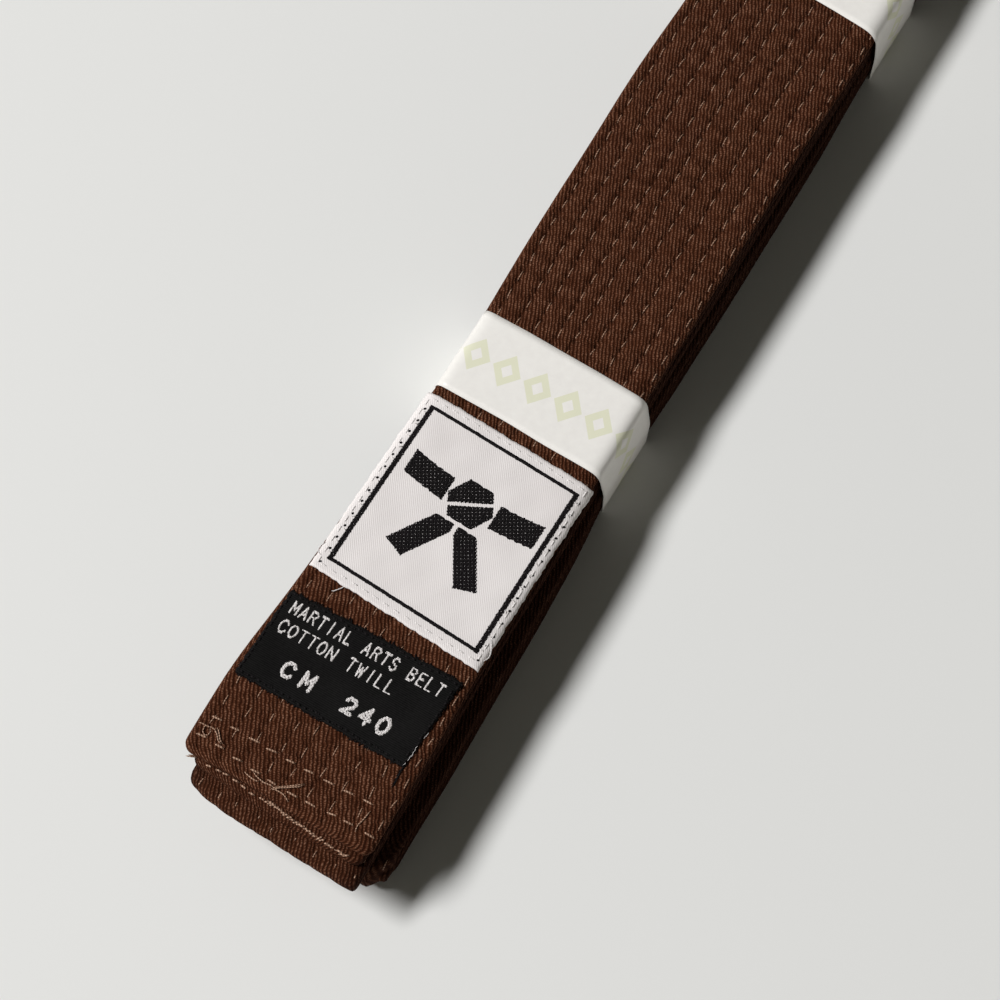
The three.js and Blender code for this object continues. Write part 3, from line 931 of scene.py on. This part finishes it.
def seam_line(label, rectangle, pitch, half, seed, lift, dip, sideways=0.05):
    """Running stitches round a rectangle."""
    r = rng(seed)
    lines = []
    for a, along, length in walk_round(*rectangle):
        for t in np.arange(pitch / 2, length, pitch):
            offset = np.array([-along[1], along[0]]) * r.normal(0, sideways)
            span = LINE_SHARE * half * r.uniform(0.85, 1.1)
            u, v = ((a + along * t + offset)[None] + span[:, None] * along[None]).T
            lines.append(label.place(u, v, lift - dip * np.abs(LINE_SHARE) ** 5))
    return lines


PATCH = Label("woven_patch", width=39.8, length=44.3, thickness=0.45,
              corners=((-19.65, -21.5), (20.35, -23.4), (-19.6, 23.2), (20.3, 21.5)))
patch = label_sheet("woven_patch_sheet", PATCH, SATIN, seed=60, rough=0.16)

PATCH_FRAME = (-17.05, -18.9, 17.5, 19.35)  # left, bottom, right, top
FRAME_HALF = 0.62  # half the width of its upright lines
ON_PATCH = 0.455  # how high the woven threads lie
TICK_PITCH = 2.95


def frame_lines_across():
    """Short slanting floats, packed like a rope's strands."""
    pitch, length, slant = 0.40, 1.05, math.radians(38)
    r = rng(61)
    left, bottom, right, top = PATCH_FRAME
    lines = []
    for v in (bottom, top):
        for u in np.arange(left - 0.2, right + 0.3, pitch):
            half = length / 2 * r.uniform(0.9, 1.1)
            uu = u + FLOAT_SHARE * half * math.cos(slant)
            vv = v + r.normal(0, 0.02) + FLOAT_SHARE * half * math.sin(slant)
            lines.append(PATCH.place(uu, vv, 0.47 - 0.04 * FLOAT_SHARE**4))
    return thread_object("patch_frame_ends", lines, 0.28, BLACK, flat=0.6)


def frame_sides_inside(u, v):
    """The frame's two upright lines."""
    left, bottom, right, top = PATCH_FRAME
    off = np.abs(np.abs(u - (left + right) / 2) - (right - left) / 2)
    return (off < FRAME_HALF) & (v > bottom - 0.4) & (v < top + 0.4)


frame_sides = woven("patch_frame_sides", PATCH, frame_sides_inside, (-18.5, -19.4, 18.9, 19.8),
                    pitch=0.22, float_length=3.0, radius=0.17, raise_by=ON_PATCH, material=BLACK,
                    seed=65)
frame_ends = frame_lines_across()


def emblem_inside(u, v):
    """A tied belt: a waist band, a knot in the middle and two hanging ends."""
    u, v = (u - 0.6) / 1.1, (v - 1.4) / 1.1
    waist = (np.abs(v - 4.2 - 0.006 * u**2) < 2.4) & (np.abs(u) < 14) & (np.abs(u) > 4.9)
    knot = (np.abs(u) + 0.55 * np.abs(v - 4.0) < 4.9) & (np.abs(v - 4.0) < 4.1)
    wrap = np.abs(v - 4.0 - 0.55 * u) < 0.36
    tail_axis = np.abs(u) - (1.6 + 0.62 * (-0.4 - v))
    tails = (np.abs(tail_axis) < 2.6) & (v < -0.8) & (v > -13 + 0.35 * np.abs(u))
    return waist | (knot & ~wrap) | (tails & (np.abs(u) > 0.35))


emblem = woven("patch_belt_emblem", PATCH, emblem_inside, (-17, -17, 17, 12), pitch=0.21,
               float_length=2.7, radius=0.19, raise_by=ON_PATCH, material=BLACK, seed=62)

patch_seam = seam_line(PATCH, (-18.75, -20.75, 18.75, 21.0), pitch=2.5, half=0.9, seed=63,
                       lift=0.50, dip=0.22)
patch_thread = thread_object("patch_sewing_stitches", patch_seam, 0.15, WHITE)


def beside_frame(name, seed, columns, start, stop, spot, radius, material, flat=0.8):
    """Small marks all along the frame's upright lines, each made by spot(r, u, v, way)."""
    r = rng(seed)
    lines = [PATCH.place(*spot(r, u, v, way))
             for u, way in columns for v in np.arange(start, stop, TICK_PITCH)]
    return thread_object(name, lines, radius, material, flat=flat)


def needle_hole(r, u, v, way):
    """A dark hole between the frame line and the sewn edge."""
    uu = u + r.normal(0, 0.08) + FLOAT_SHARE * 0.2 * r.uniform(0.7, 1.3)
    return uu, v + r.normal(0, 0.15) + FLOAT_SHARE * 0.24, 0.47 - 0.03 * FLOAT_SHARE**2


def tick(r, u, v, way):
    """White thread crossing the outer edge of the frame line."""
    vv = v + r.normal(0, 0.2) + LINE_SHARE * r.normal(0.1, 0.12)
    return u + way * LINE_SHARE * 0.42, vv, 0.62 - 0.1 * LINE_SHARE**4


holes = beside_frame("patch_needle_holes", 64, ((-18.25, 1), (18.75, -1)), -20.3, 20.5,
                     needle_hole, radius=0.25, material=BLACK, flat=0.4)
ticks = beside_frame("patch_edge_ticks", 66, ((-17.95, 1), (18.3, -1)), -18.0, 19.5, tick,
                     radius=0.11, material=WHITE)


def label_ends(name, label, radius, ends):
    """Loose ends of white thread: u and v along each, and how high it lies."""
    return thread_object(name, [label.place(*end) for end in ends], radius, WHITE, flat=1.0)


patch_ends = label_ends("patch_loose_ends", PATCH, 0.11, [
    ([-19.6, -20.0, -20.2, -20.1, -19.7, -19.3, -19.0],
     [-16.5, -17.2, -17.9, -18.6, -19.1, -19.3, -19.2], 0.5),
    ([-11.4, -11.6, -11.9, -12.2, -12.5, -12.8, -13.2],
     [-21.6, -22.3, -22.9, -23.3, -23.7, -24.1, -24.3], 0.22),
    ([18.9, 19.4, 19.8, 20.1, 20.2, 20.0, 19.7],
     [-15.4, -16.3, -17.0, -17.8, -18.6, -19.2, -19.8], 0.5),
])

SIZE_LABEL = Label("size_label", width=38.9, length=20.4, thickness=0.4,
                   corners=((-19.6, -10.2), (18.6, -9.8), (-19.2, 9.6), (19.5, 10.6)))
size_label = label_sheet("size_label_sheet", SIZE_LABEL, TAFFETA, seed=70, rough=0.22, step=0.4)

size_seam = seam_line(SIZE_LABEL, (-19.0, -9.5, 19.0, 9.5), pitch=1.35, half=0.55, seed=71,
                      lift=0.46, dip=0.25, sideways=0.16)
size_thread = thread_object("size_label_stitches", size_seam, 0.22, BLACK)


def size_fray():
    """The cut edges are frayed: short black fibres all round, longest at the lower right."""
    r = rng(74)
    lines = []
    for a, along, length in walk_round(-19.4, -10.1, 19.4, 10.1):
        out = np.array([along[1], -along[0]])
        for t in np.arange(0.2, length, 0.26):
            start = a + along * (t + r.normal(0, 0.1)) - out * r.uniform(0.1, 0.5)
            at_side = abs(out[0]) > 0.5
            way = along * r.normal(0, 0.6) + out * r.uniform(0.4, 1.1) * (0.6 if at_side else 1)
            u, v = (start + (LINE_SHARE[:, None] + 1) / 2 * way * r.uniform(0.5, 1.1)).T
            height = 0.36 - 0.17 * (LINE_SHARE + 1) * r.uniform(0.5, 1)
            lines.append(SIZE_LABEL.place(u, v, height))
    for k in range(5):
        v = np.linspace(-9.0, -11.5 - 0.9 * k, 7)
        u = 19.1 + 0.13 * k + 0.25 * np.sin(v * 1.1 + k)
        lines.append(SIZE_LABEL.place(u, v, 0.20 - 0.04 * (LINE_SHARE + 1)))
    return thread_object("size_label_frayed_edge", lines, 0.1, BLACK, flat=1.0)


fray = size_fray()

size_ends = label_ends("size_label_loose_ends", SIZE_LABEL, 0.05, [
    ([19.1, 19.4, 19.3, 19.5, 19.4, 19.6, 19.5], [-9.9, -9.4, -8.9, -8.4, -7.9, -7.4, -6.9], 0.42),
    ([19.3, 19.6, 19.4, 19.5, 19.3, 19.4, 19.2], [-7.7, -7.2, -6.7, -6.2, -5.7, -5.2, -4.7], 0.46),
    ([19.4, 19.6, 19.5, 19.7, 19.6, 19.7, 19.6], [-3.3, -3.0, -2.8, -2.5, -2.3, -2.0, -1.8], 0.3),
])

GLYPHS = {
    "M": [[(0, 0), (0, 1), (0.5, 0.35), (1, 1), (1, 0)]],
    "A": [[(0, 0), (0.5, 1), (1, 0)], [(0.2, 0.36), (0.8, 0.36)]],
    "R": [[(0, 0), (0, 1), (0.7, 1), (1, 0.77), (0.7, 0.52), (0, 0.52)], [(0.5, 0.52), (1, 0)]],
    "T": [[(0, 1), (1, 1)], [(0.5, 1), (0.5, 0)]],
    "I": [[(0.5, 0), (0.5, 1)]],
    "L": [[(0, 1), (0, 0), (0.9, 0)]],
    "S": [[(0.95, 0.84), (0.7, 1), (0.3, 1), (0.05, 0.8), (0.15, 0.6), (0.85, 0.4), (0.97, 0.2),
           (0.7, 0), (0.3, 0), (0.03, 0.15)]],
    "B": [[(0, 0), (0, 1), (0.65, 1), (0.9, 0.78), (0.65, 0.53), (0, 0.53)],
          [(0.65, 0.53), (1, 0.27), (0.65, 0), (0, 0)]],
    "E": [[(0.95, 1), (0, 1), (0, 0), (0.95, 0)], [(0, 0.52), (0.75, 0.52)]],
    "C": [[(1, 0.8), (0.75, 1), (0.3, 1), (0, 0.7), (0, 0.3), (0.3, 0), (0.75, 0), (1, 0.2)]],
    "O": [[(0.3, 1), (0, 0.7), (0, 0.3), (0.3, 0), (0.7, 0), (1, 0.3), (1, 0.7), (0.7, 1),
           (0.3, 1)]],
    "N": [[(0, 0), (0, 1), (1, 0), (1, 1)]],
    "W": [[(0, 1), (0.25, 0), (0.5, 0.8), (0.75, 0), (1, 1)]],
    "2": [[(0.03, 0.78), (0.25, 1), (0.7, 1), (0.97, 0.78), (0.88, 0.5), (0, 0), (1, 0)]],
    "4": [[(0.72, 0), (0.72, 1), (0, 0.3), (1, 0.3)]],
}
GLYPHS["0"] = GLYPHS["O"]


def strokes(text, u, v, width, height, advance):
    """Stroke segments of a line of capitals that starts at (u, v)."""
    segments = []
    for i, letter in enumerate(text):
        for path in GLYPHS.get(letter, []):
            points = [(u + i * advance + x * width, v + y * height) for x, y in path]
            segments += list(zip(points[:-1], points[1:]))
    return segments


def near_strokes(segments, half):
    """A test that holds within half of any of the segments."""
    ends = np.array(segments)

    def inside(u, v):
        a, b = ends[None, :, 0], ends[None, :, 1]
        ab = b - a
        askew = 0.3 - 0.018 * (u + 17)
        point = np.stack([u, v - askew], -1)[:, None]
        t = np.clip(((point - a) * ab).sum(-1) / (ab**2).sum(-1), 0, 1)
        return (np.linalg.norm(point - a - t[..., None] * ab, axis=-1) < half).any(1)

    return inside


small_text = strokes("MARTIAL ARTS BELT", -17.2, 5.65, 1.3, 2.65, 2.08)
small_text += strokes("COTTON TWILL", -17.2, 1.2, 1.45, 2.6, 2.25)
big_text = strokes("CM", -11.6, -6.4, 2.1, 3.15, 4.6) + strokes("240", 2.7, -6.4, 2.1, 3.15, 3.9)
LETTERING = {"pitch": 0.27, "float_length": 1.6, "radius": 0.15, "raise_by": 0.42}
label_words = woven("size_label_words", SIZE_LABEL, near_strokes(small_text, 0.21),
                    (-18, 0.5, 19, 9), **LETTERING, material=WHITE, seed=72)
label_size = woven("size_label_numerals", SIZE_LABEL, near_strokes(big_text, 0.42),
                   (-13, -7.2, 15, -2), **LETTERING, material=WHITE, seed=73)

# ---- paper bands

PAPER_THICKNESS = 0.14
BAND_LAP = 12.0


def band_outline(span, shoulder):
    """The paper's middle line round the stack, starting and ending in its lap underneath."""
    ys = np.linspace(span[0], span[1], 9)

    def leftmost(first, last):
        return min(edges_of(layer, y)[0] for layer in range(first, last + 1) for y in ys)

    left = leftmost(1, LAYERS) - 0.12
    middle_left = leftmost(2, 4) - 0.2
    lower_left = leftmost(5, LAYERS) - 0.2
    right = max(edges_of(layer, y)[1] for layer in range(1, LAYERS + 1) for y in ys) + 0.25
    upper_right = max(edges_of(1, y)[1] for y in ys) + 0.45
    height = max(float(height_scale(y)) for y in ys)
    top = layer_z(1) * height + HALF_THICKNESS + 0.16
    bottom = PAPER_THICKNESS / 2 + 0.02

    def arc(x, z, radius, start, stop, steps=8):
        angle = np.radians(np.linspace(start, stop, steps))
        return list(zip(x + radius * np.cos(angle), z + radius * np.sin(angle)))

    lap = PAPER_THICKNESS + 0.03
    half_lap, low_corner, left_corner = BAND_LAP / 2, 0.7, 2.0
    points = [(-half_lap, bottom + lap), (half_lap + 1, bottom + lap), (half_lap + 3, bottom)]
    points += arc(right - low_corner, bottom + low_corner, low_corner, -90, 0)
    points += [(right, layer_z(5) * height + HALF_THICKNESS + 0.2)]
    points += arc(upper_right - shoulder, top - shoulder, shoulder, 3, 88)
    crown = np.linspace(upper_right - shoulder - 0.5, left + left_corner + 0.4, 26)[1:-1]
    centre, half = (upper_right + left) / 2, (upper_right - left) / 2
    points += [(x, top + 0.14 * (1 - ((x - centre) / half) ** 2)) for x in crown]
    points += arc(left + left_corner, top - left_corner, left_corner, 92, 180)
    # The paper is drawn straight down the left, past the layers that stand further in.
    low = layer_z(4) * height - HALF_THICKNESS - 0.2
    taut = np.interp(low, (bottom, top - left_corner), (lower_left, left))
    points += [(min(middle_left, taut), low)]
    points += arc(lower_left + low_corner, bottom + low_corner, low_corner, 180, 270)
    points += [(half_lap, bottom)]
    line = np.array(points)
    line[:, 0] += CENTRE_X
    return line


def resample(line, count):
    gone = np.concatenate([[0], np.cumsum(np.linalg.norm(np.diff(line, axis=0), axis=1))])
    even = np.linspace(0, gone[-1], count)
    return np.stack([np.interp(even, gone, line[:, 0]), np.interp(even, gone, line[:, 1])], 1), even


BAND_COUNT, BAND_ROWS = 240, 15


def paper_band(name, span, seed, shoulder, turn, slant):
    """One strip of paper round the bundle, its ends lapped and glued underneath.

    turn is how far the ring is out of square, and slant how far the far edge comes in at the right.
    """
    middle_y, half_width_y = sum(span) / 2, (span[1] - span[0]) / 2
    line, gone = resample(band_outline(span, shoulder), BAND_COUNT)
    near = [np.clip(np.arange(BAND_COUNT) + k, 0, BAND_COUNT - 1) for k in (-2, -1, 0, 1, 2)]
    soft = sum(line[places] for places in near) / len(near)
    upper = np.clip(line[:, 1] / 3 - 0.5, 0, 1)[:, None]
    line = line * (1 - upper) + soft * upper
    along = np.gradient(line, axis=0)
    along /= np.linalg.norm(along, axis=1, keepdims=True)
    out = np.stack([along[:, 1], -along[:, 0]], 1)
    upper_part = np.clip(line[:, 1] / 6 - 0.5, 0, 1)
    top = line[:, 1].max()
    share = np.linspace(-1, 1, BAND_ROWS)
    skins = []
    for side in (1, -1):
        for t in share:
            edge = 0.10 * wobble(gone, seed + (t > 0), (19.0, 31.0, 53.0)) * abs(t)
            lift = upper_part * (0.05 * t**4 + 0.03 * wobble(gone + 9 * t, seed + 5, (13.0, 23.0)))
            x, z = (line + out * (side * PAPER_THICKNESS / 2 + lift[:, None])).T
            askew = -math.tan(turn) * (x - CENTRE_X)
            cut = slant * np.clip((x - CENTRE_X - 18) / 4, 0, 1) * (1 - z / top) * max(t, 0)
            y = TIP_Y + middle_y + t * half_width_y + edge + askew - cut
            skins.append(np.stack([x, y, np.maximum(z, PAPER_THICKNESS * 0.1)], 1))
    faces = two_skins(BAND_ROWS, BAND_COUNT, turned=True)
    top_start = gone[np.argmax(line[:, 1] > top - 0.2)]
    uv = np.stack(np.broadcast_arrays(gone[None] - top_start, share[:, None] * half_width_y), -1)
    uv = np.concatenate([uv.reshape(-1, 2)] * 2)
    obj = make_object(name, np.concatenate(skins), faces.tolist(), PAPER, uv[faces.ravel()])
    return obj, gone[-1]


near_band, near_length = paper_band("near_band_paper", NEAR_BAND, seed=80, shoulder=2.3,
                                    turn=math.radians(1.3), slant=1.6)
far_band, far_length = paper_band("far_band_paper", FAR_BAND, seed=90, shoulder=3.4,
                                  turn=math.radians(4.6), slant=0)

# ---- what stands for what

QUILT_NODES = [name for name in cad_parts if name.startswith("quilting_")]
TIP_NODES = [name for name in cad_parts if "_tip_" in name]

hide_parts("twill_casing", "core_ply_label_side", "core_ply_seam_side")
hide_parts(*QUILT_NODES)
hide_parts(*[name for name in TIP_NODES if name.startswith("labelled")])
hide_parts(*[name for name in TIP_NODES if name.startswith("plain")])
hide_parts("woven_patch")
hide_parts("woven_patch_thread")
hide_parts("size_label")
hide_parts("size_label_thread")
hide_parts("near_paper_band")
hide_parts("far_paper_band")

SLOTS = {
    "brown_twill": [belt],
    "tan_thread": [stitches, tip_stitches, second_seam, strays],
    "white_satin": [patch],
    "white_thread": [patch_thread, ticks, patch_ends, size_ends, label_words, label_size],
    "black_taffeta": [size_label],
    "black_thread": [size_thread, fray, frame_sides, frame_ends, emblem, holes],
    "white_paper": [near_band, far_band],
}
for slot, objects in SLOTS.items():
    for obj in objects:
        body = "near_band" if obj is near_band else "far_band" if obj is far_band else "belt"
        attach(obj, body)

# ---- floor, light and camera


def floor_material():
    m = Cloth("pale_floor", 0.6, 0.2)
    cloud = m.noise(m.node("ShaderNodeTexCoord").outputs["Object"], 2.0, 2.0)
    return m.finish(m.ramp(cloud, [(0.3, (0.765, 0.765, 0.75)), (0.7, (0.785, 0.785, 0.77))]))


FLOOR_HALF = 6000
floor_corners = np.array([(-1, -1, 0), (1, -1, 0), (1, 1, 0), (-1, 1, 0)]) * FLOOR_HALF
floor = make_object("floor", floor_corners, [(0, 1, 2, 3)], floor_material(), smooth=False)

KEY_AZIMUTH = math.radians(205)  # the light comes from here, anticlockwise from +X
KEY_ELEVATION = math.radians(48.3)
KEY_DISTANCE = 4.0
KEY_SIZE = (2.0, 0.8)  # metres
KEY_TURN = math.radians(-19)  # its long way softens the shadow's ends and not its long side
KEY_WATTS = 187
key = bpy.data.objects.new("key", bpy.data.lights.new("key", "AREA"))
key.data.shape = "ELLIPSE"
key.data.size, key.data.size_y = KEY_SIZE
key.data.energy = KEY_WATTS
toward = Vector((math.cos(KEY_AZIMUTH) * math.cos(KEY_ELEVATION),
                 math.sin(KEY_AZIMUTH) * math.cos(KEY_ELEVATION), math.sin(KEY_ELEVATION)))
key.location = toward * KEY_DISTANCE
key.rotation_mode = "QUATERNION"
key.rotation_quaternion = toward.to_track_quat("Z", "Y") @ Quaternion((0, 0, 1), KEY_TURN)
bpy.context.scene.collection.objects.link(key)


def studio_world():
    """A dim room overhead with a pale wall low down all round it."""
    world = bpy.data.worlds.new("studio")
    world.use_nodes = True
    tree = world.node_tree
    place, split, ramp = [tree.nodes.new("ShaderNode" + kind)
                          for kind in ("TexCoord", "SeparateXYZ", "ValToRGB")]
    tree.links.new(place.outputs["Generated"], split.inputs[0])
    tree.links.new(split.outputs["Z"], ramp.inputs[0])
    wall, ceiling = ramp.color_ramp.elements
    wall.position, wall.color = 0.12, (0.86, 0.84, 0.78, 1)
    ceiling.position, ceiling.color = 0.30, (0.034, 0.033, 0.026, 1)
    tree.links.new(ramp.outputs[0], tree.nodes["Background"].inputs["Color"])
    bpy.context.scene.world = world


studio_world()

# Where the picture was taken from: the camera's own tilt, heading and distance.
CAMERA_TILT = math.radians(21.76)
CAMERA_HEADING = math.radians(121.0)
CAMERA_DISTANCE = 0.548
LOOK_AT = Vector((1.7, 82.3 + TIP_Y, 0)) * MM
LENS_PER_SENSOR = 2.65

camera = bpy.data.objects.new("camera", bpy.data.cameras.new("camera"))
camera.data.lens = camera.data.sensor_width * LENS_PER_SENSOR
camera.data.clip_start = 0.01
camera.data.clip_end = 20
view = Vector((math.sin(CAMERA_TILT) * math.cos(CAMERA_HEADING),
               math.sin(CAMERA_TILT) * math.sin(CAMERA_HEADING), -math.cos(CAMERA_TILT)))
camera.location = LOOK_AT - view * CAMERA_DISTANCE
upward = Vector((math.cos(CAMERA_TILT) * math.cos(CAMERA_HEADING),
                 math.cos(CAMERA_TILT) * math.sin(CAMERA_HEADING), math.sin(CAMERA_TILT)))
right_hand = view.cross(upward)
camera.rotation_mode = "QUATERNION"
camera.rotation_quaternion = Matrix((right_hand, upward, -view)).transposed().to_quaternion()
bpy.context.scene.collection.objects.link(camera)
bpy.context.scene.camera = camera

bpy.context.scene.view_settings.view_transform = "Standard"
bpy.context.scene.view_settings.look = "None"
